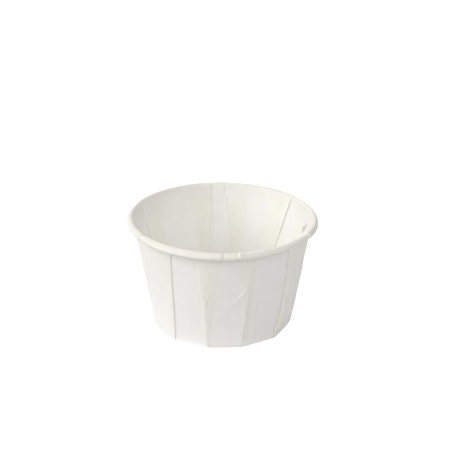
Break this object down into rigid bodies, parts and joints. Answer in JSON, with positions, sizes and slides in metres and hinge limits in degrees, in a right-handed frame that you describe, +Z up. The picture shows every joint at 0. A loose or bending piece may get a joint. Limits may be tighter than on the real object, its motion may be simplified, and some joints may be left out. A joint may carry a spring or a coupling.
{
  "type": "paper souffle cup",
  "caption": "Small pleated paper cup with a flat base and a rolled rim, for handing out tablets or holding a small portion.",
  "frame": {"origin": "centre of the base's underside", "axes": "+Z up along the cup's own axis, through the open mouth; -Y out through the middle of one outer panel, the one that faces the picture's viewer"},
  "size_m": [0.058, 0.0578, 0.0342],
  "materials": {
    "paper": "matte off-white cup paper, pressed dry, with a faint sheen on the roll"
  },
  "bodies": {
    "root": {"souffle_cup": "paper"}
  },
  "joints": []
}
